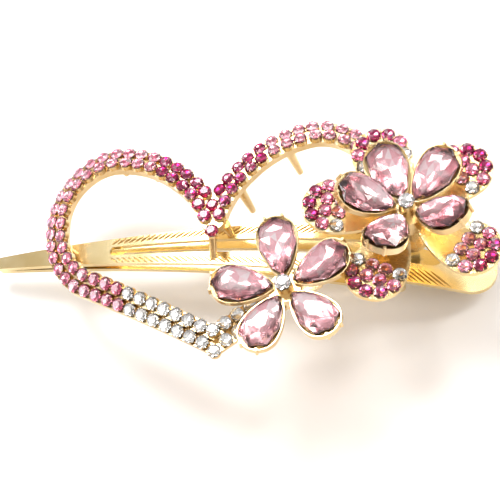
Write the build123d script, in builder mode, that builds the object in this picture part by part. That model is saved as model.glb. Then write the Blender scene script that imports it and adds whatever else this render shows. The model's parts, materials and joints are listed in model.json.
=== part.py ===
from build123d import *

# Rhinestone hair clip: an arched, slotted gold clip with a sprung lower jaw, carrying an open heart
# of small round stones and two flowers of pear-shaped crystals.
# Millimetres. X runs along the clip (tip at -X, thumb end at +X), Y across it, Z away from the hair.
# Everything is drawn with the crown of the upper arm at (0, 0, 0) and moved to its origin at the end.

import os
from math import atan2, cos, degrees, radians, sin, sqrt, tan

# ---- driving dimensions -------------------------------------------------------------------------
PLATE = 1.0                # sheet thickness of both arms
TIP_X = -48.5              # pointed end of the clip
THUMB_X = 43.1             # rounded end that the thumb presses
TIP_HALF = 1.1             # half width at the tip
THUMB_HALF = 6.3           # half width at the thumb end
ARCH_R = 115.0             # radius of the clip's arch, seen from the side
NOSE_R = 220.0             # the arch is flatter toward the tip, from NOSE_X on
NOSE_X = -12.0

HINGE_X = 25.0
PIN_Z = -5.9
PIN_R = 0.75
PIN_RUNNING_FIT = 0.06     # radial clearance in the moving ears
PIN_PRESS_FIT = 0.02       # radial clearance in the fixed ears
EAR_R = 1.5
EAR_THICK = 0.8
UPPER_EAR_Y = 3.2          # inner face of the upper arm's ears
LOWER_EAR_Y = 4.3          # inner face of the lower arm's ears
JAW_GAP = 0.12             # left between the closed tips
OPEN_ANGLE = 20.0          # full opening of the jaws, degrees
SEAT_Z = -7.8              # flat of the lower arm under the hinge
TAB_END = (36.0, -12.3)    # top edge of the lower arm's thumb tab
TAB_HALF = 2.9

WIRE_R = 0.28
LEG_R = 0.24
COIL_MEAN_R = 1.25
COIL_HALF = 2.9            # half length of the coil on the pin

HEART_TURN = 6.0           # the heart stands this many degrees off square to the clip
HEART_APEX = (-5.5, 2.6)   # bottom of the heart's cleft, in plan
HEART_R = 112.0            # the heart is bent along the clip
HEART_TOP = 4.8            # height of the heart over the crown of the arm
HEART_DEPTH = 1.8
ROW_STEP = 0.5             # the outer row sits lower than the inner one by twice this
ROW_OUT = 1.1              # rows lie this far to each side of the middle line
ROW_IN = 1.15
BAND_OUT = 2.15
BAND_IN = 2.25
ROLL = 22.0                # stones lean outward by this angle
STONE_R = 1.18
STONE_TABLE_R = 0.7
CUP_R = 1.1
SEAT_FIT = 0.06            # the band is cut back this far round each stone
CUP_RISE = 0.45            # cups stand this much proud of the band
CUP_ROOT = 0.9             # and reach this far down from the stone

SMALL_HUB = (9.3, -12.1, 8.8)
SMALL_TILT = (0.0, 0.0)
SMALL_TURNS = (30.0, 102.0, 180.0, 246.0, 318.0)
SMALL_CUPPING = (12.0, 9.0, 9.0, 4.0, 7.0)

BIG_HUB = (28.9, 2.7, 5.5)
BIG_TILT = (5.0, 6.0)
METAL_TURNS = (-29.0, 46.0, 114.0, 176.0, 250.0)
BIG_TURNS = (-23.0, 54.0, 117.0, 176.0, 249.0)
BIG_CUPPING = (30.0, 20.0, 15.0, 28.0, 26.0)
METAL_CUPPING = 4.0
METAL_END_R = 5.3
METAL_END_X = 12.9
METAL_THICK = 0.8
CRYSTAL_LIFT = 1.9         # big crystals start this far above the metal petals' hub

HEIGHT_RANGE = 60.0        # tall enough to cut right through everything


# ---- small helpers ------------------------------------------------------------------------------
def on_circle(centre, radius, x):
    """Height of the upper half of a circle in the XZ plane at x."""
    return centre[1] + sqrt(radius**2 - (x - centre[0]) ** 2)


def side_plane(y):
    """XZ plane at y; a positive extrusion from it goes toward -Y."""
    return Plane.XZ.offset(-y)


def tapered(x0, half0, x1, half1, round0, round1):
    """Long tapered outline with rounded ends."""
    with BuildSketch() as outline:
        with BuildLine():
            Polyline((x0, half0), (x1, half1), (x1, -half1), (x0, -half0), close=True)
        make_face()
        fillet(outline.vertices().group_by(Axis.X)[0], round0)
        fillet(outline.vertices().group_by(Axis.X)[-1], round1)
    return outline.sketch


def ear(x, hole_r, y_inner, root_z):
    """A pair of hinge ears, joined to the plate at root_z, with their pin hole."""
    for y in (-y_inner, y_inner + EAR_THICK):
        with BuildSketch(side_plane(y)) as profile:
            with Locations((x, (root_z + PIN_Z) / 2)):
                Rectangle(2 * EAR_R, abs(root_z - PIN_Z))
            with Locations((x, PIN_Z)):
                Circle(EAR_R)
                Circle(hole_r, mode=Mode.SUBTRACT)
        extrude(profile.sketch, amount=EAR_THICK)


def rod(start, end, radius):
    """Round rod from one point to another."""
    run = Vector(end) - Vector(start)
    with BuildSketch(Plane(origin=start, z_dir=run)) as section:
        Circle(radius)
    extrude(section.sketch, amount=run.length)


def pear(r_in, r_out, half, neck=0.45):
    """Pear outline along +X: a narrow inner end at r_in and a round outer end at r_out."""
    centre = r_out - half
    with BuildSketch() as outline:
        with BuildLine():
            ThreePointArc((centre, half), (r_out, 0), (centre, -half))
            side = (r_in + 0.42 * (centre - r_in), 0.72 * half)
            ThreePointArc((r_in, neck), side, (centre, half))
            ThreePointArc((r_in, -neck), (side[0], -side[1]), (centre, -half))
            Line((r_in, neck), (r_in, -neck))
        make_face()
    return outline.sketch


parts = {}


def keep(name, part):
    """Give a finished piece its name."""
    part.label = name
    parts[name] = part


# ---- the arch, as one line in the XZ plane ---------------------------------------------------------
arch_centre = (0, -ARCH_R)
nose_start = (NOSE_X, on_circle(arch_centre, ARCH_R, NOSE_X))
nose_growth = NOSE_R / ARCH_R
nose_centre = (NOSE_X * (1 - nose_growth), nose_start[1] + (arch_centre[1] - nose_start[1]) * nose_growth)


def arch_height(x, drop=0.0):
    """Height of the upper arm's top face, or of a face that lies drop under it."""
    if x < NOSE_X:
        return on_circle(nose_centre, NOSE_R - drop, x)
    return on_circle(arch_centre, ARCH_R - drop, x)


def arch_face(x0, x1, drop, turn=0.0, pivot=(0.0, 0.0)):
    """Side view of a sheet that follows the arch from x0 to x1, turned about a pivot."""
    with BuildSketch() as face:
        with BuildLine():
            for level in (drop, drop + PLATE):
                joint = (NOSE_X + 0.1 * level, arch_height(NOSE_X + 0.1 * level, level))
                middle = ((x0 + NOSE_X) / 2, arch_height((x0 + NOSE_X) / 2, level))
                ThreePointArc((x0, arch_height(x0, level)), middle, joint)
                middle = ((x1 + NOSE_X) / 2, arch_height((x1 + NOSE_X) / 2, level))
                ThreePointArc(joint, middle, (x1, arch_height(x1, level)))
            for x in (x0, x1):
                Line((x, arch_height(x, drop)), (x, arch_height(x, drop + PLATE)))
        make_face()
    return Pos(*pivot) * Rot(0, 0, turn) * Pos(-pivot[0], -pivot[1]) * face.sketch


# ---- upper arm: the slotted plate with the thumb end ---------------------------------------------
with BuildPart() as upper_arm:
    with BuildSketch(Plane.XY.offset(-HEIGHT_RANGE / 2)):
        add(tapered(TIP_X, TIP_HALF, THUMB_X, THUMB_HALF, 1.0, 4.8))
        add(tapered(-25.5, 0.8, 34.0, 2.0, 0.75, 1.9), mode=Mode.SUBTRACT)
    extrude(amount=HEIGHT_RANGE)
    with BuildSketch(side_plane(HEIGHT_RANGE / 2)):
        add(arch_face(TIP_X - 1, THUMB_X + 1, 0))
    extrude(amount=HEIGHT_RANGE, mode=Mode.INTERSECT)
    ear(HINGE_X, PIN_R + PIN_RUNNING_FIT, UPPER_EAR_Y, arch_height(HINGE_X, 0.5 * PLATE))
keep("upper_arm", upper_arm.part)

# ---- lower arm: springs against the upper one from below ------------------------------------------
tip_pivot = (TIP_X, arch_height(TIP_X, PLATE))
seat_x = HINGE_X - 1.6
spread = degrees(atan2(arch_height(seat_x, PLATE) - SEAT_Z, seat_x - TIP_X))
flat_end = (HINGE_X + 4.5, SEAT_Z)
run = Vector(TAB_END[0] - flat_end[0], TAB_END[1] - SEAT_Z).normalized()
under = Vector(run.Y, -run.X) * PLATE
bend = PLATE * tan(atan2(-run.Y, run.X) / 2)

with BuildPart() as lower_arm:
    with BuildSketch(side_plane(HEIGHT_RANGE / 2)):
        add(arch_face(TIP_X - 1, seat_x + 0.6, PLATE + JAW_GAP, -spread, tip_pivot))
        with BuildLine():
            Polyline(
                (seat_x - 0.3, SEAT_Z),
                flat_end,
                TAB_END,
                (TAB_END[0] + under.X, TAB_END[1] + under.Y),
                (flat_end[0] - bend, SEAT_Z - PLATE),
                (seat_x - 0.3, SEAT_Z - PLATE),
                close=True,
            )
        make_face()
    extrude(amount=HEIGHT_RANGE)
    with BuildSketch(Plane.XY.offset(-HEIGHT_RANGE / 2)):
        add(tapered(TIP_X + 0.4, TIP_HALF - 0.1, HINGE_X + 2.2, 5.1, 0.9, 0.8))
        with Locations((TAB_END[0] / 2 + 8, 0)):
            RectangleRounded(TAB_END[0] - 16, 2 * TAB_HALF, 1.4)
        add(tapered(-24.0, 0.8, 19.5, 1.7, 0.75, 1.6), mode=Mode.SUBTRACT)
    extrude(amount=HEIGHT_RANGE, mode=Mode.INTERSECT)
    ear(HINGE_X, PIN_R + PIN_PRESS_FIT, LOWER_EAR_Y, SEAT_Z - 0.5 * PLATE)
keep("lower_arm", lower_arm.part)

# ---- hinge pin with a peened head at each end -----------------------------------------------------
pin_half = LOWER_EAR_Y + EAR_THICK
head_thick = 0.4
with BuildPart() as hinge_pin:
    with BuildSketch(side_plane(pin_half)):
        with Locations((HINGE_X, PIN_Z)):
            Circle(PIN_R)
    extrude(amount=2 * pin_half)
    for y in (pin_half + head_thick, -pin_half):
        with BuildSketch(side_plane(y)):
            with Locations((HINGE_X, PIN_Z)):
                Circle(1.15)
        extrude(amount=head_thick)
keep("hinge_pin", hinge_pin.part)

# ---- torsion spring: a wound sleeve on the pin with two legs that push the thumb ends apart --------
with BuildPart() as torsion_spring:
    with BuildSketch(side_plane(COIL_HALF)):
        with Locations((HINGE_X, PIN_Z)):
            Circle(COIL_MEAN_R + WIRE_R)
            Circle(COIL_MEAN_R - WIRE_R, mode=Mode.SUBTRACT)
    extrude(amount=2 * COIL_HALF)
    leg_y = COIL_HALF - 2 * WIRE_R
    rod((HINGE_X, leg_y, PIN_Z + COIL_MEAN_R), (33.0, leg_y, -6.25), LEG_R)
    rod((HINGE_X, -leg_y, PIN_Z - COIL_MEAN_R), (29.2, -leg_y, SEAT_Z + 0.38), LEG_R)
keep("torsion_spring", torsion_spring.part)


# ---- the open heart ---------------------------------------------------------------------------------
heart_right = Vector(cos(radians(HEART_TURN)), sin(radians(HEART_TURN)), 0)
heart_plane = Plane(origin=(*HEART_APEX, -HEIGHT_RANGE / 2), x_dir=heart_right, z_dir=(0, 0, 1))
CLEFT = (0.0, 0.3)
POINT = (0.0, -22.9)

# Right half of the middle line, from the cleft over the lobe and down the straight leg.
with BuildLine() as half_line:
    ThreePointArc(CLEFT, (2.5, 5.6), (5.8, 9.4))
    ThreePointArc((5.8, 9.4), (11.6, 13.6), (18.4, 15.7))
    ThreePointArc((18.4, 15.7), (26.6, 12.5), (29.7, 5.0))
    ThreePointArc((29.7, 5.0), (28.6, -2.2), (24.6, -7.5))
    Line((24.6, -7.5), POINT)


def heart_face(shift):
    """The whole heart, grown (+) or shrunk (-) from the middle line, with rounded cleft and point."""
    edges = half_line.edges()
    aims = [edges[0].tangent_at(0)]
    aims += [(a.tangent_at(1) + b.tangent_at(0)).normalized() for a, b in zip(edges, edges[1:])]
    aims.append(edges[-1].tangent_at(1))
    corners = [edge.position_at(0) for edge in edges] + [edges[-1].position_at(1)]
    corners = [corner + Vector(-aim.Y, aim.X) * shift for corner, aim in zip(corners, aims)]
    with BuildSketch() as face:
        with BuildLine():
            for edge, start, end in zip(edges[:-1], corners, corners[1:]):
                aim = edge.tangent_at(0.5)
                ThreePointArc(start, edge.position_at(0.5) + Vector(-aim.Y, aim.X) * shift, end)
            Polyline(
                corners[-2],
                corners[-1],
                (-9.0, corners[-1].Y),
                (-9.0, corners[0].Y),
                corners[0],
            )
        make_face()
        with Locations((0, -5)):
            Rectangle(40, 60, align=(Align.MIN, Align.CENTER), mode=Mode.INTERSECT)
        if shift < 0:
            with Locations(CLEFT):
                Circle(-shift, mode=Mode.SUBTRACT)
        if shift > 0:
            with Locations(POINT):
                Circle(shift)
        mirror(about=Plane.YZ)
    return face.sketch


# The right side is open where the two flowers cover it: both ends are soldered to the upper arm.
OPENING = Plane(origin=(14.5, -16.0, 0))
OPENING_SIZE = (30.0, 19.4)


def heart_strip(outer, inner, top):
    """One step of the heart's band, bent along the clip."""
    with BuildPart() as strip:
        with BuildSketch(heart_plane):
            add(heart_face(outer))
            add(heart_face(inner), mode=Mode.SUBTRACT)
        extrude(amount=HEIGHT_RANGE)
        with BuildSketch(OPENING.offset(-HEIGHT_RANGE / 2)):
            Rectangle(*OPENING_SIZE, align=(Align.MIN, Align.MIN))
        extrude(amount=HEIGHT_RANGE, mode=Mode.SUBTRACT)
        with BuildSketch(Plane.XZ) as ring:
            with Locations((0, top - HEART_R)):
                Circle(HEART_R)
            with Locations((0, HEART_TOP - HEART_R)):
                Circle(HEART_R - HEART_DEPTH, mode=Mode.SUBTRACT)
        extrude(ring.sketch, amount=HEIGHT_RANGE, both=True, mode=Mode.INTERSECT)
    return strip.part


def in_plan(u, v):
    """Heart coordinates to plan coordinates."""
    c, s = cos(radians(HEART_TURN)), sin(radians(HEART_TURN))
    return HEART_APEX[0] + u * c - v * s, HEART_APEX[1] + u * s + v * c


def row_path(shift):
    """Points of one row of stones, with the outward direction, down the right half of the heart."""
    line = half_line.wire()
    path = []
    for i in range(401):
        here, along = line.position_at(i / 400), line.tangent_at(i / 400)
        out = Vector(-along.Y, along.X, 0)
        spot = here + out * shift
        if spot.X > 0.02:
            path.append((spot.X, spot.Y, out.X, out.Y))
    return path


def spaced(path, pitch):
    """Places at equal steps along a path of (x, y, outward x, outward y)."""
    reach = [0.0]
    for a, b in zip(path, path[1:]):
        reach.append(reach[-1] + sqrt((b[0] - a[0]) ** 2 + (b[1] - a[1]) ** 2))
    count = round(reach[-1] / pitch)
    places, k = [], 0
    for i in range(count + 1):
        target = reach[-1] * i / count
        while k < len(path) - 2 and reach[k + 1] < target:
            k += 1
        places.append(path[k + 1] if target - reach[k] > reach[k + 1] - target else path[k])
    return places


ROW_PITCH = 2.58
CLEFT_START = 1.3          # the rows of the two halves keep this far from the middle in the cleft
POINT_END = 1.95           # and this far at the point, where single stones close the rows


def whole_row(shift, cleft_stone, point_stone):
    """One row: a single stone in the cleft, the run down the side, and a single stone at the point."""
    side = [p for p in row_path(shift) if p[0] > (CLEFT_START if p[1] > -10 else POINT_END)]
    return [(0.0, cleft_stone, 0.0, 1.0)] + spaced(side, ROW_PITCH) + [(0.0, point_stone, 0.0, -1.0)]


outer_row = whole_row(ROW_OUT, 3.1, POINT[1] - 1.9)
inner_row = whole_row(-ROW_IN, -2.4, POINT[1] + 1.6)


def stone_plane(place, side, height):
    """Seat of a stone: leans outward from the heart, and with the bend of the clip."""
    u, v, out_u, out_v = place
    x, y = in_plan(side * u, v)
    out_x, out_y = in_plan(side * out_u, out_v)
    outward = Vector(out_x - HEART_APEX[0], out_y - HEART_APEX[1], 0)
    upright = Vector(x / HEART_R, 0, 1).normalized()
    roll = radians(ROLL * min(1.0, abs(u) / 6.0))
    z = height + on_circle((0, HEART_TOP - HEART_R), HEART_R, x)
    return Plane(origin=(x, y, z), z_dir=upright * cos(roll) + outward * sin(roll))


def stone_colour(u, v, side):
    """Colours run from clear at the point through rose at the sides to fuchsia at the cleft."""
    if v > -4 and u < 9.35:
        return "fuchsia"
    if side > 0:
        return "pale_rose" if v > 2 else "clear"
    if v > 0.8:
        return "light_rose"
    return "rose" if u > 17.3 else "clear"


HUB_CLEARANCE = 3.6
seats, by_colour = [], {}
for row, height in ((outer_row, -ROW_STEP), (inner_row, ROW_STEP)):
    for place in row:
        for side in (-1, 1) if place[0] > 0.01 else (1,):
            seat = stone_plane(place, side, height)
            x, y = seat.origin.X, seat.origin.Y
            hidden = x > OPENING.origin.X - 1.4 and -16 < y < OPENING.origin.Y + OPENING_SIZE[1] + 1.4
            under_hub = (x - SMALL_HUB[0]) ** 2 + (y - SMALL_HUB[1]) ** 2 < HUB_CLEARANCE**2
            if not hidden and not under_hub:
                seats.append(seat)
                by_colour.setdefault(stone_colour(place[0], place[1], side), []).append(seat)


def round_stones(planes, radius, table_radius, girdle=0.3, crown=0.55):
    """Round stones on their seats: a girdle and a flat-topped crown."""
    with BuildPart() as stones:
        with Locations(*planes):
            Cylinder(radius, girdle, align=(Align.CENTER, Align.CENTER, Align.MIN))
        with Locations(*[p.offset(girdle) for p in planes]):
            Cone(radius, table_radius, crown, align=(Align.CENTER, Align.CENTER, Align.MIN))
    return stones.part


for colour, planes in by_colour.items():
    keep("heart_stones_" + colour, round_stones(planes, STONE_R, STONE_TABLE_R))


def frame_bottom(x):
    """Height of the underside of the heart's band."""
    return on_circle((0, HEART_TOP - HEART_R), HEART_R - HEART_DEPTH, x)


# Pegs under the heart, and posts from it to the clip: place in plan, length or foot, radius.
PEGS = ((6.5, 17.1, 7.0), (-1.5, 9.4, 7.0), (-24.8, 16.2, 3.2), (-18.4, 14.4, 3.4), (-3.5, 2.4, 3.4))
ROOT = 0.5                 # pegs and posts start this far inside the band
POSTS = ((-33.9, 1.2), (13.3, -4.2), (24.4, 4.7))

with BuildPart() as heart_frame:
    add(heart_strip(BAND_OUT, 0, HEART_TOP - ROW_STEP - CUP_RISE))
    add(heart_strip(0.05, -BAND_IN, HEART_TOP + ROW_STEP - CUP_RISE))
    with Locations(*[Plane(p.origin - p.z_dir * CUP_ROOT, z_dir=p.z_dir) for p in seats]):
        Cylinder(CUP_R, CUP_ROOT, align=(Align.CENTER, Align.CENTER, Align.MIN))
    for x, y, length in PEGS:
        with Locations(Plane(origin=(x, y, frame_bottom(x) + ROOT), z_dir=(0.14, -0.1, -1))):
            Cone(0.95, 0.6, length + ROOT, align=(Align.CENTER, Align.CENTER, Align.MIN))
    for x, y in POSTS:
        rod((x, y, frame_bottom(x) + ROOT), (x, y, arch_height(x, 0.6)), 0.9)
    rod((-5.6, 0.9, frame_bottom(0) + ROOT), (-5.9, -2.4, -0.6), 0.7)
    with Locations(*seats):
        Cylinder(STONE_R + SEAT_FIT, 1.2, align=(Align.CENTER, Align.CENTER, Align.MIN), mode=Mode.SUBTRACT)
    add(upper_arm.part, mode=Mode.SUBTRACT)
heart_band = heart_frame.part.solids().sort_by(SortBy.VOLUME)[-1]
keep("heart_frame", heart_band)


# ---- flowers ------------------------------------------------------------------------------------------
def flower_axis(tilt):
    x, y = sin(radians(tilt[0])), sin(radians(tilt[1]))
    return Vector(x, y, sqrt(1 - x * x - y * y))


def petal_plane(hub, axis, turn, cupping):
    """Plane of a petal: X runs outward along it, Z is its upper side."""
    right = (Vector(1, 0, 0) - axis * axis.X).normalized()
    ahead = axis.cross(right)
    out = right * cos(radians(turn)) + ahead * sin(radians(turn))
    c, s = cos(radians(cupping)), sin(radians(cupping))
    return Plane(origin=hub, x_dir=out * c + axis * s, z_dir=axis * c - out * s)


CUP_WALL = 0.22
CUP_FLOOR = 0.5
PRONG_R = 0.27
CUP_DEPTH = 0.7            # depth of the pocket under the crystal's girdle line
POCKET_FIT = 0.05
GIRDLE = 0.35              # crystal edge above the pocket's rim line
CROWN = 1.5


def crystal(plane, r_in, r_out, half):
    """Pear-shaped crystal: straight girdle, sloping crown, flat table, flat foiled back."""
    with BuildPart() as stone:
        with BuildSketch(plane.offset(-CUP_DEPTH)):
            add(pear(r_in, r_out, half))
        extrude(amount=CUP_DEPTH + GIRDLE)
        with BuildSketch(plane.offset(GIRDLE)):
            add(pear(r_in, r_out, half))
        with BuildSketch(plane.offset(GIRDLE + CROWN)):
            add(pear(r_in + 2.4, r_out - 1.5, half - 1.5, neck=0.3))
        loft(ruled=True)
    return stone.part


def prong_cup(plane, r_in, r_out, half):
    """Tray with a thin wall for one crystal, and two prongs at its round end."""
    with BuildPart() as cup:
        with BuildSketch(plane.offset(-CUP_DEPTH - CUP_FLOOR)):
            add(pear(r_in - CUP_WALL, r_out + CUP_WALL, half + CUP_WALL))
        extrude(amount=CUP_DEPTH + CUP_FLOOR)
        with BuildSketch(plane.offset(-CUP_DEPTH)):
            add(pear(r_in - POCKET_FIT, r_out + POCKET_FIT, half + POCKET_FIT))
        extrude(amount=CUP_DEPTH, mode=Mode.SUBTRACT)
        reach = half + POCKET_FIT + PRONG_R
        for angle in (-24, 24):
            place = (r_out - half + reach * cos(radians(angle)), reach * sin(radians(angle)))
            with BuildSketch(plane.offset(-CUP_DEPTH - CUP_FLOOR)):
                with Locations(place):
                    Circle(PRONG_R)
            extrude(amount=CUP_DEPTH + CUP_FLOOR + GIRDLE + 0.2)
    return cup.part


def centre_setting(hub, axis, base, height, radius, stone_radius, prefix):
    """Clear round stone in a plain cup on the flower's axis."""
    plane = Plane(origin=Vector(hub) + axis * base, z_dir=axis)
    with BuildPart() as cup:
        with BuildSketch(plane):
            Circle(radius)
        extrude(amount=height)
    keep(prefix + "_centre_cup", cup.part)
    keep(prefix + "_centre_stone", round_stones([plane.offset(height)], stone_radius, 0.9, 0.35, 0.7))


SMALL_R_IN, SMALL_R_OUT, SMALL_HALF = 1.95, 12.6, 3.45
BIG_R_IN, BIG_R_OUT, BIG_HALF = 2.2, 13.0, 3.65

small_axis = flower_axis(SMALL_TILT)
small_body = []
for i, (turn, cupping) in enumerate(zip(SMALL_TURNS, SMALL_CUPPING), 1):
    plane = petal_plane(SMALL_HUB, small_axis, turn, cupping)
    keep(f"small_flower_cup_{i}", prong_cup(plane, SMALL_R_IN, SMALL_R_OUT, SMALL_HALF))
    keep(f"small_flower_crystal_{i}", crystal(plane, SMALL_R_IN, SMALL_R_OUT, SMALL_HALF))
    small_body += [parts[f"small_flower_cup_{i}"], parts[f"small_flower_crystal_{i}"]]

small_base = Plane(origin=SMALL_HUB, z_dir=small_axis)
with BuildPart() as small_hub:
    with BuildSketch(small_base.offset(-1.7)):
        Circle(2.7)
    extrude(amount=1.5)
    rod((*SMALL_HUB[:2], SMALL_HUB[2] - 1.5), (*SMALL_HUB[:2], HEART_TOP - 2.0), 1.5)
    for piece in small_body:
        add(piece, mode=Mode.SUBTRACT)
    add(heart_band, mode=Mode.SUBTRACT)
keep("small_flower_hub", small_hub.part.solids().sort_by(SortBy.VOLUME)[-1])
centre_setting(SMALL_HUB, small_axis, -0.2, 1.9, 1.45, 1.45, "small_flower")

big_axis = flower_axis(BIG_TILT)
crystal_hub = Vector(BIG_HUB) + big_axis * CRYSTAL_LIFT
big_body = []
RIM_RING, MID_RING = 4.05, 1.7
STONE_SPOTS = {
    "plum": ((RIM_RING, 0), (RIM_RING, 36), (RIM_RING, -36)),
    "rose": ((RIM_RING, 72), (RIM_RING, -72), (MID_RING, 45), (MID_RING, -45)),
    "pink": ((MID_RING, 135), (MID_RING, -135)),
    "clear": ((RIM_RING, 108), (RIM_RING, -108)),
}
petal_seats = {colour: [] for colour in STONE_SPOTS}
for i, (metal_turn, turn, cupping) in enumerate(zip(METAL_TURNS, BIG_TURNS, BIG_CUPPING), 1):
    leaf = petal_plane(BIG_HUB, big_axis, metal_turn, METAL_CUPPING)
    with BuildPart() as metal_petal:
        with BuildSketch(leaf.offset(-METAL_THICK)):
            add(pear(2.6, METAL_END_X + METAL_END_R, METAL_END_R, neck=1.1))
        extrude(amount=METAL_THICK)
    keep(f"metal_petal_{i}", metal_petal.part)
    for colour, spots in STONE_SPOTS.items():
        for ring, angle in spots:
            spot = (METAL_END_X + ring * cos(radians(angle)), ring * sin(radians(angle)), 0)
            petal_seats[colour].append(Plane(origin=leaf.from_local_coords(spot), z_dir=leaf.z_dir))
    plane = petal_plane(crystal_hub, big_axis, turn, cupping)
    keep(f"big_flower_cup_{i}", prong_cup(plane, BIG_R_IN, BIG_R_OUT, BIG_HALF))
    keep(f"big_flower_crystal_{i}", crystal(plane, BIG_R_IN, BIG_R_OUT, BIG_HALF))
    big_body += [parts[f"metal_petal_{i}"], parts[f"big_flower_cup_{i}"], parts[f"big_flower_crystal_{i}"]]

for colour, planes in petal_seats.items():
    keep("petal_stones_" + colour, round_stones(planes, STONE_R, STONE_TABLE_R))

big_base = Plane(origin=BIG_HUB, z_dir=big_axis)
with BuildPart() as big_hub:
    with BuildSketch(big_base.offset(-1.8)):
        Circle(2.9)
    extrude(amount=CRYSTAL_LIFT + 1.6)
    rod((*BIG_HUB[:2], BIG_HUB[2] - 1.5), (*BIG_HUB[:2], arch_height(BIG_HUB[0], 0.3)), 1.6)
    rod((*BIG_HUB[:2], arch_height(BIG_HUB[0]) + 0.9), (*BIG_HUB[:2], arch_height(BIG_HUB[0], 0.3)), 2.4)
    for piece in big_body:
        add(piece, mode=Mode.SUBTRACT)
    add(upper_arm.part, mode=Mode.SUBTRACT)
keep("big_flower_hub", big_hub.part.solids().sort_by(SortBy.VOLUME)[-1])
centre_setting(BIG_HUB, big_axis, CRYSTAL_LIFT - 0.2, 3.0, 1.4, 1.4, "big_flower")

# ---- origin at the middle of the footprint, and export ---------------------------------------------
box = Compound([solid for part in parts.values() for solid in part.solids()]).bounding_box()
shift = Pos(-(box.min.X + box.max.X) / 2, -(box.min.Y + box.max.Y) / 2, -box.min.Z)
print("hinge at", (shift * Pos(HINGE_X, 0, PIN_Z)).position, "size", box.size)
os.makedirs("parts", exist_ok=True)
for name, part in parts.items():
    placed = part.moved(shift)
    placed.label = name
    export_step(placed, f"parts/{name}.step")
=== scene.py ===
# %% [markdown]
# # A rhinestone hair clip
# The clip's metal parts come ready made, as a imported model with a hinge. This script gives them their
# looks. It keeps the parts whose shape is already right and paints them. It cuts real facets for the
# stones, twists rope ridges along the arm, winds the spring, and lights the clip like a small piece of
# jewellery on a pale table.

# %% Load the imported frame
import json
from math import cos, fsum, pi, radians, sin, sqrt

import bmesh
import bpy
from mathutils import Matrix, Vector


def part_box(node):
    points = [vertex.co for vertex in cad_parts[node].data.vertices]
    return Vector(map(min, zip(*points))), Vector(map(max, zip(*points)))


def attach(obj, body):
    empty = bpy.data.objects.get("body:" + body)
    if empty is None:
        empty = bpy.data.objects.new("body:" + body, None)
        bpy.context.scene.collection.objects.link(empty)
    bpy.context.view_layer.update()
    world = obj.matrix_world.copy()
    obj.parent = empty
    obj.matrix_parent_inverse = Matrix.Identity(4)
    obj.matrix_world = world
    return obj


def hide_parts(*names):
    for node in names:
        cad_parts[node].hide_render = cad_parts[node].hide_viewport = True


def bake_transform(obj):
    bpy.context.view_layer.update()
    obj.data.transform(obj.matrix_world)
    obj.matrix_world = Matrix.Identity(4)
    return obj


MM = 0.001

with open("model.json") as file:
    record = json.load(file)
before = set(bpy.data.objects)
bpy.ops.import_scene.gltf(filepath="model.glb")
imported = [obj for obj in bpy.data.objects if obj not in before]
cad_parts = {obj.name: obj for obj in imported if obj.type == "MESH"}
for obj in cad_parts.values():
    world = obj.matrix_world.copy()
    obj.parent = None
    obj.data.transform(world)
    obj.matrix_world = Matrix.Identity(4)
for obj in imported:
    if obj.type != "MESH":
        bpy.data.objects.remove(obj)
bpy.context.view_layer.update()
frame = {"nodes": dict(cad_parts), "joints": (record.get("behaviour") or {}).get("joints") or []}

# %% [markdown]
# ## Landmarks
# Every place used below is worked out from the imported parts, so nothing drifts if a part changes. The
# hinge gives the line that the jaw turns on. The upper arm's box gives its two ends. The arm's own
# outline, arch and slot repeat the few driving sizes that the metal was drawn with.

# %% Landmarks taken from the frame
hinge = Vector(frame["joints"][0]["pos_m"])
arm_low, arm_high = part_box("upper_arm")
CROWN_BACK, CROWN_UP = 25.0 * MM, 5.9 * MM  # from the hinge to the arm's highest point
ORIGIN = Vector((hinge.x - CROWN_BACK, hinge.y, hinge.z + CROWN_UP))
TIP_X, THUMB_X = arm_low.x, arm_high.x
print("hinge", hinge, "arm from", TIP_X, "to", THUMB_X)

# %% [markdown]
# ## Shared effects
# Plated metal is never quite even. The plating has a faint grain, tiny dents catch the light, and the
# polish is a little duller in places. One node group makes these as a mask and a height, and each metal
# uses it with its own scale and strength.

# %% Node helpers


def new_group(name, inputs, outputs):
    """An empty shader group with float inputs {name: default} and outputs {name: socket type}."""
    group = bpy.data.node_groups.new(name, "ShaderNodeTree")
    for label, default in inputs.items():
        socket = group.interface.new_socket(label, in_out="INPUT", socket_type="NodeSocketFloat")
        socket.default_value = default
    for label, kind in outputs.items():
        group.interface.new_socket(label, in_out="OUTPUT", socket_type=kind)
    return group, group.nodes.new("NodeGroupInput"), group.nodes.new("NodeGroupOutput")


def ramp(tree, low, high, low_colour, high_colour):
    """A colour ramp from low to high."""
    node = tree.nodes.new("ShaderNodeValToRGB")
    node.color_ramp.elements[0].position = low
    node.color_ramp.elements[0].color = (*low_colour, 1)
    node.color_ramp.elements[1].position = high
    node.color_ramp.elements[1].color = (*high_colour, 1)
    return node


def new_material(name):
    """A material with its Principled shader."""
    material = bpy.data.materials.new(name)
    material.use_nodes = True
    return material, material.node_tree, material.node_tree.nodes["Principled BSDF"]



def new_piece(mesh, name, materials):
    """The object made from a finished bmesh, with its materials. The bmesh is freed."""
    data = bpy.data.meshes.new(name)
    mesh.to_mesh(data)
    mesh.free()
    for material in materials:
        data.materials.append(material)
    piece = bpy.data.objects.new(name, data)
    bpy.context.scene.collection.objects.link(piece)
    return piece


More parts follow.
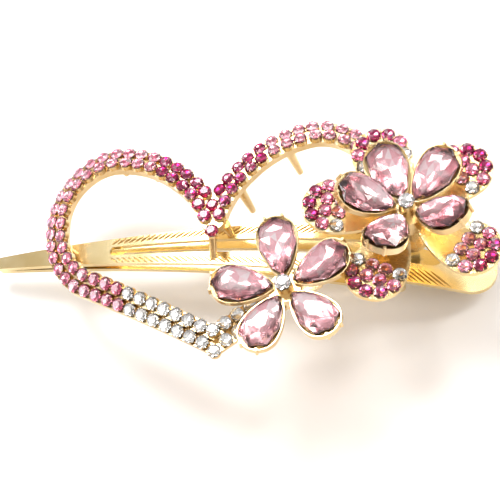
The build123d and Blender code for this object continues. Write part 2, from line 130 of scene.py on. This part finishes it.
# %% The plating group: a slow cloud, a fine grain and their height
plating, plating_in, plating_out = new_group(
    "plating",
    {"Cloud scale": 120.0, "Grain scale": 2600.0, "Grain share": 0.3},
    {"Cloud": "NodeSocketFloat", "Height": "NodeSocketFloat"},
)
place = plating.nodes.new("ShaderNodeTexCoord")
cloud = plating.nodes.new("ShaderNodeTexNoise")
cloud.inputs["Detail"].default_value = 3
grain = plating.nodes.new("ShaderNodeTexNoise")
grain.inputs["Detail"].default_value = 2
for noise, scale in ((cloud, "Cloud scale"), (grain, "Grain scale")):
    plating.links.new(place.outputs["Object"], noise.inputs["Vector"])
    plating.links.new(plating_in.outputs[scale], noise.inputs["Scale"])
blend_heights = plating.nodes.new("ShaderNodeMix")
plating.links.new(plating_in.outputs["Grain share"], blend_heights.inputs["Factor"])
plating.links.new(cloud.outputs["Fac"], blend_heights.inputs["A"])
plating.links.new(grain.outputs["Fac"], blend_heights.inputs["B"])
plating.links.new(cloud.outputs["Fac"], plating_out.inputs["Cloud"])
plating.links.new(blend_heights.outputs["Result"], plating_out.inputs["Height"])
print("group", plating.name, "nodes", len(plating.nodes))


# %% [markdown]
# ## Gold
# The clip is plated with a pale champagne gold. The plating is bright and warm, with amber only where it
# mirrors something dark. The arms are smooth and polished, the cast settings are a little softer, and the
# petals' plates are hammered, so each has its own grain over the same colour. The rope ridges alone carry
# a deeper amber, which is painted shade for the shadow that falls between real ridges.

# %% Gold finishes


def gold(name, dark, light, rough, grain_scale, grain_share, dent):
    """Plated gold: colour and polish follow the plating's cloud, and dents its height."""
    material, tree, shader = new_material(name)
    wear = tree.nodes.new("ShaderNodeGroup")
    wear.node_tree = plating
    wear.inputs["Grain scale"].default_value = grain_scale
    wear.inputs["Grain share"].default_value = grain_share
    colour = ramp(tree, 0.35, 0.65, dark, light)
    polish = tree.nodes.new("ShaderNodeMapRange")
    polish.inputs["To Min"].default_value = rough[0]
    polish.inputs["To Max"].default_value = rough[1]
    bump = tree.nodes.new("ShaderNodeBump")
    bump.inputs["Strength"].default_value = dent
    bump.inputs["Distance"].default_value = 0.1 * MM
    tree.links.new(wear.outputs["Cloud"], colour.inputs["Fac"])
    tree.links.new(wear.outputs["Cloud"], polish.inputs["Value"])
    tree.links.new(wear.outputs["Height"], bump.inputs["Height"])
    tree.links.new(colour.outputs["Color"], shader.inputs["Base Color"])
    tree.links.new(polish.outputs["Result"], shader.inputs["Roughness"])
    tree.links.new(bump.outputs["Normal"], shader.inputs["Normal"])
    shader.inputs["Metallic"].default_value = 1.0
    return material


arm_gold = gold("polished_gold", (0.80, 0.61, 0.29), (0.90, 0.74, 0.43), (0.16, 0.26), 900.0, 0.3, 0.12)
cast_gold = gold("cast_gold", (0.74, 0.52, 0.25), (0.90, 0.71, 0.42), (0.20, 0.32), 1500.0, 0.5, 0.25)
petal_gold = gold(
    "hammered_gold", (0.74, 0.50, 0.20), (0.95, 0.78, 0.46), (0.18, 0.34), 1100.0, 0.8, 0.9
)
# The rope ridges' deeper amber is painted shade: the shadow between real ridges, put into their colour.
rope_painted_shade_gold = gold("rope_painted_shade_gold", (0.52, 0.32, 0.10), (0.68, 0.45, 0.18), (0.20, 0.32), 900.0, 0.3, 0.12)
steel = gold("spring_wire", (0.42, 0.41, 0.39), (0.62, 0.61, 0.58), (0.25, 0.4), 2600.0, 0.6, 0.2)
print("gold finishes:", [m.name for m in (arm_gold, cast_gold, petal_gold, rope_painted_shade_gold, steel)])

# %% Paint the metal parts that are kept
finish_of = {"upper_arm": arm_gold, "lower_arm": arm_gold, "hinge_pin": arm_gold}
for name, node in frame["nodes"].items():
    if "stone" in name or "crystal" in name or name == "torsion_spring":
        continue
    finish = petal_gold if name.startswith("metal_petal") else finish_of.get(name, cast_gold)
    node.data.materials.clear()
    node.data.materials.append(finish)
print("painted metal parts")

# %% [markdown]
# ## Stones
# A rhinestone is clear or tinted glass with mirror foil on its pointed back. Light goes in through the
# crown, bounces between the facets of the foil and comes back out, so each facet shows a different piece
# of the room. The stone is built the same way here: a glass crown with a faceted, tinted mirror inside
# it. Each foil facet is also painted darker or lighter, as painted shade and painted highlights on top of
# what it really mirrors. Small round stones are cut with eight sides. The pears get a large table and a
# deeper back.

# %% Glass and foil
FOIL_ROUGHNESS = 0.16


def glass(name, tint):
    """Clear lead glass, slightly tinted."""
    material, _tree, shader = new_material(name)
    shader.inputs["Base Color"].default_value = (*tint, 1)
    shader.inputs["Roughness"].default_value = 0.0
    shader.inputs["IOR"].default_value = 1.55
    shader.inputs["Transmission Weight"].default_value = 1.0
    return material


def foil(name, dark, middle, light):
    """Tinted mirror foil: each facet takes its own painted shade or painted highlight from the mesh's
    facet attribute.
    """
    material, tree, shader = new_material(name)
    facet = tree.nodes.new("ShaderNodeAttribute")
    facet.attribute_name = "facet"
    shades = ramp(tree, 0.0, 1.0, dark, light)
    centre = shades.color_ramp.elements.new(0.5)
    centre.color = (*middle, 1)
    tree.links.new(facet.outputs["Fac"], shades.inputs["Fac"])
    tree.links.new(shades.outputs["Color"], shader.inputs["Base Color"])
    shader.inputs["Metallic"].default_value = 1.0
    shader.inputs["Roughness"].default_value = FOIL_ROUGHNESS
    return material


def tinted(colour, share):
    """A colour moved towards white by share."""
    return tuple(c + (1 - c) * share for c in colour)


STONE_COLOURS = {
    "clear": (0.97, 0.96, 0.94),
    "light_rose": (0.90, 0.36, 0.48),
    "pale_rose": (0.93, 0.46, 0.55),
    "rose": (0.93, 0.36, 0.50),
    "fuchsia": (0.66, 0.03, 0.22),
    "plum": (0.52, 0.03, 0.17),
    "pink": (0.97, 0.50, 0.58),
    "crystal": (1.0, 0.66, 0.70),
}
# The foil's light end is a painted highlight and its shadow end is painted shade; the middle is the
# stone's own colour.
GLASS_PALE, FOIL_PAINTED_HIGHLIGHT = 0.85, 0.7
ROUND_SHADOW, PEAR_SHADOW = 0.72, 0.92
glass_of, foil_of = {}, {}
for colour, rgb in STONE_COLOURS.items():
    glass_of[colour] = glass("glass_" + colour, tinted(rgb, GLASS_PALE))
    strength = PEAR_SHADOW if colour == "crystal" else ROUND_SHADOW
    shadow = tuple(strength * c**1.5 for c in rgb)
    foil_of[colour] = foil("foil_" + colour, shadow, rgb, tinted(rgb, FOIL_PAINTED_HIGHLIGHT))
print("stone colours:", sorted(STONE_COLOURS))

# %% [markdown]
# ## Where the stones sit
# Each colour of round stones is one part made of many small solids. A stone's flat back shows how it
# lies, so the seat of each one is read from its own faces: the back's middle, and the way it faces.

# %% Read the seats of the round stones


def islands(mesh):
    """Groups of connected faces of a bmesh, in the order of their first faces."""
    met, groups = set(), []
    for first in mesh.faces:
        if first in met:
            continue
        met.add(first)
        group = [first]
        for face in group:
            for edge in face.edges:
                for other in edge.link_faces:
                    if other not in met:
                        met.add(other)
                        group.append(other)
        groups.append(group)
    return groups


def seats_of(node):
    """(middle of the back, way up, radius) of each stone in a CAD node."""
    mesh = bmesh.new()
    mesh.from_mesh(node.data)
    bmesh.ops.remove_doubles(mesh, verts=mesh.verts, dist=0.002 * MM)
    found = []
    for group in islands(mesh):
        parts = [(f.calc_center_median(), f.calc_area()) for f in group]
        area = fsum(share for _place, share in parts)
        middle = Vector([fsum(place[k] * share for place, share in parts) / area for k in range(3)])
        shares = {}
        for face in group:
            key = tuple(round(c, 2) for c in face.normal)
            shares[key] = shares.get(key, 0.0) + face.calc_area()
        down = Vector(max(shares, key=shares.get)).normalized()
        corners = {v for f in group for v in f.verts}
        depth = max((v.co - middle).dot(down) for v in corners)
        back = middle + down * depth
        across = max(((v.co - back) + down * (back - v.co).dot(down)).length for v in corners)
        found.append((back, -down, across))
    mesh.free()
    return sorted(found, key=lambda seat: (round(seat[0].x, 5), round(seat[0].y, 5)))


stone_nodes = [n for n in frame["nodes"] if "_stones_" in n]
seats = {name: seats_of(frame["nodes"][name]) for name in stone_nodes}
print({name: len(found) for name, found in seats.items()})
print("radius of the first stone:", round(seats[stone_nodes[0]][0][2] / MM, 3), "mm")

# %% [markdown]
# ## Cutting a round stone
# The cut starts as an eight-sided disc. Extruding and scaling it up gives the slanted crown, and turning
# the middle ring by half a side makes the facets triangles and kites. The foil under it is an eight-sided
# cone that points down, with its own ring of facets.

# %% Round cut, as a small template mesh
FOIL = 1  # the second material slot, after the glass


def ring_up(mesh, edges, scale, lift, turn):
    """Extrude an open ring of edges upwards, scaled and turned about Z. Returns the new ring."""
    made = bmesh.ops.extrude_edge_only(mesh, edges=edges)["geom"]
    corners = [v for v in made if isinstance(v, bmesh.types.BMVert)]
    bmesh.ops.scale(mesh, vec=(scale, scale, 1), verts=corners)
    bmesh.ops.translate(mesh, vec=(0, 0, lift), verts=corners)
    bmesh.ops.rotate(mesh, matrix=Matrix.Rotation(turn, 3, "Z"), verts=corners)
    return [e for e in made if isinstance(e, bmesh.types.BMEdge)]


def in_order(mesh, digits):
    """Put the faces in order of place, the foil's first, so that every run numbers them alike."""

    def place(face):
        return (-face.material_index, *(round(c, digits) for c in face.calc_center_median()))

    rank = {face: count for count, face in enumerate(sorted(mesh.faces, key=place))}
    mesh.faces.sort(key=lambda face: rank[face])


def round_cut(sides=8):
    """A round stone of radius 1: a glass crown over a foil cone."""
    mesh = bmesh.new()
    bmesh.ops.create_circle(mesh, segments=sides, radius=1.0, cap_ends=True)
    girdle = ring_up(mesh, list(mesh.edges), 1.0, 0.22, 0)
    crown = ring_up(mesh, girdle, 0.84, 0.28, pi / sides)
    table = ring_up(mesh, crown, 0.66, 0.20, pi / sides)
    bmesh.ops.contextual_create(mesh, geom=table)
    bmesh.ops.triangulate(mesh, faces=[f for f in mesh.faces if len(f.verts) == 4])
    bmesh.ops.recalc_face_normals(mesh, faces=mesh.faces)
    shell = set(mesh.faces)
    inner = bmesh.ops.create_circle(mesh, segments=sides, radius=0.985, cap_ends=False)["verts"]
    bmesh.ops.translate(mesh, vec=(0, 0, 0.21), verts=inner)
    cone_rim = [e for e in mesh.edges if all(v in inner for v in e.verts)]
    belt = ring_up(mesh, cone_rim, 0.55, -0.11, pi / sides)
    made = bmesh.ops.extrude_edge_only(mesh, edges=belt)["geom"]
    tip = [v for v in made if isinstance(v, bmesh.types.BMVert)]
    bmesh.ops.pointmerge(mesh, verts=tip, merge_co=(0, 0, 0.03))
    inside = [f for f in mesh.faces if f not in shell]
    for face in inside:
        face.material_index = FOIL
        if face.normal.z < 0:
            face.normal_flip()
    in_order(mesh, 3)
    return mesh


ROUND = bpy.data.meshes.new("round_cut")
template = round_cut()
template.to_mesh(ROUND)
print("round cut:", len(ROUND.polygons), "faces")
template.free()


# %% [markdown]
# ## Setting the stones
# The one cut is copied to every seat, each turned by its own amount so that no two catch the light
# alike. A number is stored on every facet. The foil reads it to paint neighbouring facets darker or
# lighter, as painted shade and painted highlights that give a small stone its sparkle of dark and light.

# %% Set a row of stones as one piece
GOLDEN_TURN = 2.39996
HEART_SPREAD, PETAL_SPREAD = 1.07, 1.11


def shade_of(count):
    """A repeatable, uneven number from 0 to 1 for the facet with this count."""
    return (sin(count * 12.9898) * 43758.5453) % 1.0


def store_facets(mesh_data, start=0):
    """Give each face its own facet number."""
    facet = mesh_data.attributes.new("facet", "FLOAT", "FACE")
    for polygon in mesh_data.polygons:
        facet.data[polygon.index].value = shade_of(polygon.index + start)


def set_stones(node_name, colour, body="upper_jaw"):
    """All the stones of one CAD node, cut and set, as one piece that stands for it."""
    mesh = bmesh.new()
    spread = PETAL_SPREAD if node_name.startswith("petal") else HEART_SPREAD
    for count, (back, up, radius) in enumerate(seats[node_name]):
        first = len(mesh.verts)
        mesh.from_mesh(ROUND)
        mesh.verts.ensure_lookup_table()
        corners = mesh.verts[first:]
        turn = up.to_track_quat("Z", "Y").to_matrix() @ Matrix.Rotation(count * GOLDEN_TURN, 3, "Z")
        bmesh.ops.scale(mesh, vec=(radius * spread, radius * spread, radius), verts=corners)
        bmesh.ops.rotate(mesh, matrix=turn, verts=corners)
        bmesh.ops.translate(mesh, vec=back, verts=corners)
    piece = new_piece(mesh, node_name + "_cut", (glass_of[colour], foil_of[colour]))
    store_facets(piece.data, len(node_name))
    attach(piece, body)
    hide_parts(node_name)
    return piece


for name in stone_nodes:
    piece = set_stones(name, name.split("_stones_")[1])
    print(piece.name, len(piece.data.polygons), "facets")

# %% [markdown]
# ## The pear-shaped crystals
# Ten large pears are the petals of both flowers. Each is cut as a round stone first: rings of facets are
# easy to make on a circle. Then every corner is moved to where the same spot lies on a pear, wide at the
# outer end and narrow at the flower's middle. So the facets stretch towards the narrow end, as they do
# on the real cut.

# %% How each pear lies


def corners_of(node):
    """Corner points of a CAD node, each once."""
    return sorted({tuple(round(c, 7) for c in v.co) for v in node.data.vertices})


def flower_middle(prefix):
    """A point on the flower's axis."""
    points = [Vector(c) for c in corners_of(frame["nodes"][prefix + "_centre_cup"])]
    return sum(points, Vector()) / len(points)


def pear_seat(name, hub):
    """(matrix of the seat, inner end, outer end, half width, rise) of a pear, measured from its back."""
    node = frame["nodes"][name]
    back, up, _across = seats_of(node)[0]
    out = back - hub
    out = (out - up * out.dot(up)).normalized()
    side = up.cross(out)
    start = hub + up * (back - hub).dot(up)
    points = [Vector(c) - start for c in corners_of(node)]
    along = [p.dot(out) for p in points]
    width = max(p.dot(side) for p in points)
    rise = max(p.dot(up) for p in points)
    turn = Matrix((out, side, up)).transposed().to_4x4()
    return Matrix.Translation(start) @ turn, min(along), max(along), width, rise


hubs = {prefix: flower_middle(prefix) for prefix in ("small_flower", "big_flower")}
print({prefix: tuple(round(c / MM, 2) for c in hub) for prefix, hub in hubs.items()})

# %% The pear's outline, and the move from a circle to a pear
NECK = 0.45 * MM
FLARE = 2.09
FOCUS_IN = 1.35  # the middle of the facets, in half widths from the round end


def pear_half_width(x, inner, outer, half):
    """Half width of the pear at x: a round end, then a curve down to the narrow neck."""
    widest = outer - half
    if x >= widest:
        return sqrt(max(0.0, half**2 - (x - widest) ** 2))
    reach = max(0.0, (x - inner) / (widest - inner))
    return NECK + (half - NECK) * (1 - (1 - reach) ** FLARE)


def to_pear(point, inner, outer, half):
    """Where a point of the unit disc lies on the pear."""
    radius = sqrt(point.x**2 + point.y**2)
    focus = outer - FOCUS_IN * half
    if radius < 1e-6:
        return Vector((focus, 0, point.z))
    across, up = point.x / radius, point.y / radius
    edge_x = (inner + outer) / 2 + (outer - inner) / 2 * across
    edge_y = pear_half_width(edge_x, inner, outer, half)
    edge_y *= up / max(1e-6, sqrt(1 - across**2)) if abs(across) < 0.9999 else 0.0
    return Vector((focus + (edge_x - focus) * radius, edge_y * radius, point.z))


# %% Cut one pear
PEAR_SIDES = 8
FACETS_APART = 31  # how far the facet numbers of neighbouring pears start from each other
GIRDLE_RISE = 1.02 * MM


def pear_cut(inner, outer, half, rise):
    """A pear: a glass crown in two rings of facets, over a foil back in two rings."""
    mesh = bmesh.new()
    bmesh.ops.create_circle(mesh, segments=PEAR_SIDES, radius=1.0, cap_ends=True)
    step = pi / PEAR_SIDES
    girdle = ring_up(mesh, list(mesh.edges), 1.0, GIRDLE_RISE, 0)
    lower = ring_up(mesh, girdle, 0.84, 0.52 * (rise - GIRDLE_RISE), step)
    upper = ring_up(mesh, lower, 0.60 / 0.84, 0.36 * (rise - GIRDLE_RISE), step)
    table = ring_up(mesh, upper, 0.36 / 0.60, 0.11 * (rise - GIRDLE_RISE), step)
    bmesh.ops.contextual_create(mesh, geom=table)
    bmesh.ops.triangulate(mesh, faces=[f for f in mesh.faces if len(f.verts) == 4])
    bmesh.ops.recalc_face_normals(mesh, faces=mesh.faces)
    shell = set(mesh.faces)
    rim = bmesh.ops.create_circle(mesh, segments=PEAR_SIDES, radius=0.965, cap_ends=False)["verts"]
    bmesh.ops.translate(mesh, vec=(0, 0, GIRDLE_RISE), verts=rim)
    rim_edges = [e for e in mesh.edges if all(v in rim for v in e.verts)]
    belt = ring_up(mesh, rim_edges, 0.74, -0.30 * GIRDLE_RISE, step)
    core = ring_up(mesh, belt, 0.50, -0.28 * GIRDLE_RISE, step)
    made = bmesh.ops.extrude_edge_only(mesh, edges=core)["geom"]
    tip = [v for v in made if isinstance(v, bmesh.types.BMVert)]
    bmesh.ops.pointmerge(mesh, verts=tip, merge_co=(0, 0, 0.24 * GIRDLE_RISE))
    inside = [f for f in mesh.faces if f not in shell]
    quads = [f for f in inside if len(f.verts) == 4]
    for vertex in mesh.verts:
        vertex.co = to_pear(vertex.co, inner, outer, half)
    bmesh.ops.triangulate(mesh, faces=quads)
    for face in mesh.faces:
        if face not in shell:
            face.material_index = FOIL
            face.normal_update()
            if face.normal.z < 0:
                face.normal_flip()
    in_order(mesh, 5)
    return mesh


for prefix, hub in hubs.items():
    for i in range(1, 6):
        name = f"{prefix}_crystal_{i}"
        seat, inner, outer, half, rise = pear_seat(name, hub)
        mesh = pear_cut(inner, outer, half, rise)
        bmesh.ops.transform(mesh, matrix=seat, verts=mesh.verts)
        pear = new_piece(mesh, name + "_cut", (glass_of["crystal"], foil_of["crystal"]))
        store_facets(pear.data, FACETS_APART * i + len(prefix))
        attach(pear, "upper_jaw")
        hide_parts(name)
    print(prefix, "pears", round(inner / MM, 2), round(outer / MM, 2), round(half / MM, 2), "mm")

# %% Set the two middle stones
for prefix in hubs:
    name = prefix + "_centre_stone"
    seats[name] = seats_of(frame["nodes"][name])
    print(set_stones(name, "clear").name)

# %% [markdown]
# ## Claws
# Small claws of metal hold each round stone. They are only beads of gold between the stones, but they
# draw the dark and bright dots that make a row of stones read as jewellery. There are hundreds, so each
# is a sphere of twenty faces.

# %% Claw beads around the round stones
CLAW = 0.17 * MM
CLAW_HEIGHT = 0.30 * MM
claws = bmesh.new()
for name in stone_nodes:
    for back, up, radius in seats[name]:
        turn = up.to_track_quat("Z", "Y").to_matrix()
        for quarter in range(4):
            angle = pi / 4 + quarter * pi / 2
            spot = Vector((cos(angle) * radius, sin(angle) * radius, CLAW_HEIGHT))
            bead = bmesh.ops.create_icosphere(claws, subdivisions=1, radius=CLAW)["verts"]
            bmesh.ops.translate(claws, vec=back + turn @ spot, verts=bead)
claw_piece = new_piece(claws, "stone_claws", (cast_gold,))
claw_piece.data.shade_smooth()
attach(claw_piece, "upper_jaw")
print("claws:", len(claw_piece.data.polygons), "faces")

# %% [markdown]
# ## Rope ridges on the arm
# Both bands of the arm are stamped with slanted ridges, like a twisted rope, that lean outwards towards
# the thumb. They could be a bump, but at this size they show in the outline, so each is a slim bead of
# metal half sunk into the band. They are a deeper gold than the band: painted shade, standing in for the
# shadow between real ridges, so that the lines stay clear.

# %% The arm's outline and arch, as drawn
ARCH_R, NOSE_R, NOSE_X = 115 * MM, 220 * MM, -12 * MM
TIP_HALF, THUMB_HALF = 1.1 * MM, 6.3 * MM
SLOT_FROM, SLOT_TO = -25.5 * MM, 34.0 * MM
SLOT_HALF = (0.8 * MM, 2.0 * MM)


def arch_height(x):
    """Height of the arm's top face over x, both from the crown of the arch."""
    if x > NOSE_X:
        return sqrt(ARCH_R**2 - x**2) - ARCH_R
    crown = sqrt(ARCH_R**2 - NOSE_X**2) - ARCH_R
    slope = -NOSE_X / sqrt(ARCH_R**2 - NOSE_X**2)
    run = NOSE_X - x
    return crown - run * slope - run**2 / (2 * NOSE_R)


def band(x):
    """(inner edge, outer edge) of the arm's band at x, from its middle line."""
    outer = TIP_HALF + (THUMB_HALF - TIP_HALF) * (ORIGIN.x + x - TIP_X) / (THUMB_X - TIP_X)
    share = (x - SLOT_FROM) / (SLOT_TO - SLOT_FROM)
    return SLOT_HALF[0] + (SLOT_HALF[1] - SLOT_HALF[0]) * share, outer


# %% Lay the ridges along both bands
RIDGE_PITCH = 1.10 * MM
RIDGE_LEAN = radians(34)
RIDGE_FROM, RIDGE_TO = -24.5 * MM, 35.0 * MM
RIDGE_HALF, RIDGE_RISE = 0.17 * MM, 0.24 * MM
RIDGE_START, RIDGE_MARGIN = 0.28, 0.10 * MM
ridges = bmesh.new()
count = int((RIDGE_TO - RIDGE_FROM) / RIDGE_PITCH)
for k in range(count):
    x = RIDGE_FROM + k * RIDGE_PITCH
    inner, outer = band(x)
    low = inner + RIDGE_START * (outer - inner)
    high = outer - RIDGE_MARGIN
    reach = (high - low) / sin(RIDGE_LEAN)
    drop = (arch_height(x + MM) - arch_height(x - MM)) / (2 * MM)
    for hand in (-1, 1):
        bead = bmesh.ops.create_uvsphere(ridges, u_segments=8, v_segments=5, radius=1.0)["verts"]
        bmesh.ops.rotate(ridges, matrix=Matrix.Rotation(pi / 2, 3, "Y"), verts=bead)
        bmesh.ops.scale(ridges, vec=(reach / 2, RIDGE_HALF, RIDGE_RISE), verts=bead)
        bmesh.ops.rotate(ridges, matrix=Matrix.Rotation(hand * RIDGE_LEAN, 3, "Z"), verts=bead)
        bmesh.ops.rotate(ridges, matrix=Matrix.Rotation(-drop, 3, "Y"), verts=bead)
        spot = Vector((x, hand * (low + high) / 2, arch_height(x)))
        bmesh.ops.translate(ridges, vec=ORIGIN + spot, verts=bead)
rope = new_piece(ridges, "rope_ridges", (rope_painted_shade_gold,))
rope.data.shade_smooth()
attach(rope, "upper_jaw")
print("rope ridges:", 2 * count)

# %% [markdown]
# ## The spring
# A coil of round wire sits on the hinge pin. One leg presses up under the thumb end and the other down
# on the lower arm. The coil is wound by spinning a small circle round the hinge line while it moves
# along it.

# %% Wind the torsion spring
WIRE = 0.26 * MM
COIL_R = 1.25 * MM
COIL_TURNS = 9
COIL_HALF = 2.55 * MM
STEPS = 20
wire = bmesh.new()
ring = bmesh.ops.create_circle(wire, segments=8, radius=WIRE)["verts"]
bmesh.ops.rotate(wire, matrix=Matrix.Rotation(pi / 2, 3, "Y"), verts=ring)
bmesh.ops.translate(wire, vec=hinge + Vector((0, -COIL_HALF, -COIL_R)), verts=ring)
loop = list(wire.edges)
wound = bmesh.ops.spin(
    wire,
    geom=loop,
    cent=hinge,
    axis=(0, 1, 0),
    dvec=(0, 2 * COIL_HALF / (STEPS * COIL_TURNS + STEPS / 2), 0),
    angle=-2 * pi * (COIL_TURNS + 0.5),
    steps=int(STEPS * (COIL_TURNS + 0.5)),
    use_merge=False,
)
last = [e for e in wound["geom_last"] if isinstance(e, bmesh.types.BMEdge)]
ARM_LEG, THUMB_LEG = (4.1 * MM, 0, -0.18 * MM), (8.0 * MM, 0, -1.55 * MM)
for edges, reach in ((loop, ARM_LEG), (last, THUMB_LEG)):
    made = bmesh.ops.extrude_edge_only(wire, edges=edges)["geom"]
    corners = [v for v in made if isinstance(v, bmesh.types.BMVert)]
    bmesh.ops.translate(wire, vec=reach, verts=corners)
    bmesh.ops.contextual_create(wire, geom=[e for e in made if isinstance(e, bmesh.types.BMEdge)])
bmesh.ops.recalc_face_normals(wire, faces=wire.faces)
spring = new_piece(wire, "spring_wire", (steel,))
spring.data.shade_smooth()
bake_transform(spring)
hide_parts("torsion_spring")
print("spring faces:", len(spring.data.polygons))

# %% [markdown]
# ## Table and light
# Small shiny things need large, soft lights: every facet mirrors a piece of the room. A broad light
# overhead from behind gives the white flashes. The room itself is pale with a darker belt, so polished
# metal has something to show an edge against. The table runs from a warm beige in front to white at the
# back. The whitening towards the back is painted light from the back lamp, and the beige is the table's
# own tone.

# %% The table
TABLE_HALF, TABLE_GAP = 1.2, 0.05 * MM
BEIGE_AT, WHITE_AT = -35 * MM, 5 * MM
table_mesh = bmesh.new()
bmesh.ops.create_grid(table_mesh, x_segments=2, y_segments=2, size=TABLE_HALF)
bmesh.ops.translate(table_mesh, vec=(0, 0, -TABLE_GAP), verts=table_mesh.verts)
paper, tree, shader = new_material("table_paper")
table_top = new_piece(table_mesh, "table", (paper,))
where = tree.nodes.new("ShaderNodeTexCoord")
parts_of = tree.nodes.new("ShaderNodeSeparateXYZ")
# The fade to white towards the back is painted light from the back lamp; the beige in front is the
# table's own tone.
painted_light_fade = tree.nodes.new("ShaderNodeMapRange")
painted_light_fade.inputs["From Min"].default_value = BEIGE_AT
painted_light_fade.inputs["From Max"].default_value = WHITE_AT
tone = ramp(tree, 0.0, 1.0, (0.86, 0.79, 0.73), (1.0, 1.0, 1.0))
tree.links.new(where.outputs["Object"], parts_of.inputs["Vector"])
tree.links.new(parts_of.outputs["Y"], painted_light_fade.inputs["Value"])
tree.links.new(painted_light_fade.outputs["Result"], tone.inputs["Fac"])
tree.links.new(tone.outputs["Color"], shader.inputs["Base Color"])
shader.inputs["Roughness"].default_value = 0.8

# %% The room and its lights
world = bpy.data.worlds.new("studio")
bpy.context.scene.world = world
world.use_nodes = True
room = world.node_tree
sky = room.nodes["Background"]
view = room.nodes.new("ShaderNodeTexCoord")
split = room.nodes.new("ShaderNodeSeparateXYZ")
belt = room.nodes.new("ShaderNodeValToRGB")
belt.color_ramp.elements[0].position = 0.0
belt.color_ramp.elements[0].color = (0.46, 0.42, 0.40, 1)
belt.color_ramp.elements[1].position = 1.0
belt.color_ramp.elements[1].color = (1, 1, 1, 1)
ROOM_BELT = {0.30: (0.44, 0.39, 0.37), 0.55: (0.72, 0.69, 0.68), 0.80: (0.95, 0.94, 0.94)}
for position, colour in ROOM_BELT.items():
    stop = belt.color_ramp.elements.new(position)
    stop.color = (*colour, 1)
room.links.new(view.outputs["Generated"], split.inputs["Vector"])
room.links.new(split.outputs["Z"], belt.inputs["Fac"])
room.links.new(belt.outputs["Color"], sky.inputs["Color"])
sky.inputs["Strength"].default_value = 0.85


def soft_light(name, place, size, watts, colour=(1, 1, 1)):
    """A square area light that faces the clip."""
    lamp = bpy.data.lights.new(name, "AREA")
    lamp.shape = "RECTANGLE"
    lamp.size, lamp.size_y = size
    lamp.energy = watts
    lamp.color = colour
    light = bpy.data.objects.new(name, lamp)
    light.location = place
    light.rotation_euler = (ORIGIN - Vector(place)).to_track_quat("-Z", "Y").to_euler()
    bpy.context.scene.collection.objects.link(light)
    return light


soft_light("back_overhead", (-0.13, 0.27, 0.53), (0.24, 0.20), 2.5)
soft_light("left_window", (-0.50, -0.05, 0.35), (0.22, 0.30), 1.6)
soft_light("right_strip", (0.42, 0.16, 0.40), (0.10, 0.30), 1.4, (1.0, 0.97, 0.93))

# %% [markdown]
# ## Camera
# The view looks down steeply from the front and a little from the right, with the camera leaning so
# that the clip lies across the frame. A long lens from forty centimetres keeps the shapes true.

# %% Camera
AZIMUTH, ELEVATION, LEAN = radians(26.5), radians(62), radians(24)
DISTANCE = 0.4
LENS, SENSOR = 164.2, 36.0
FRAMING = (0.53 * MM, -0.91 * MM)
away = Vector((sin(AZIMUTH) * cos(ELEVATION), -cos(AZIMUTH) * cos(ELEVATION), sin(ELEVATION)))
level = Vector((cos(AZIMUTH), sin(AZIMUTH), 0))
above = away.cross(level)
right = level * cos(LEAN) - above * sin(LEAN)
top = above * cos(LEAN) + level * sin(LEAN)
camera_data = bpy.data.cameras.new("camera")
camera_data.lens, camera_data.sensor_width = LENS, SENSOR
camera_data.clip_start = 0.01
camera = bpy.data.objects.new("camera", camera_data)
place = ORIGIN + away * DISTANCE + right * FRAMING[0] + top * FRAMING[1]
camera.matrix_world = Matrix.Translation(place) @ Matrix((right, top, away)).transposed().to_4x4()
bpy.context.scene.collection.objects.link(camera)
bpy.context.scene.camera = camera
bpy.context.scene.view_settings.view_transform = "Standard"
print("camera at", tuple(round(c, 3) for c in place))
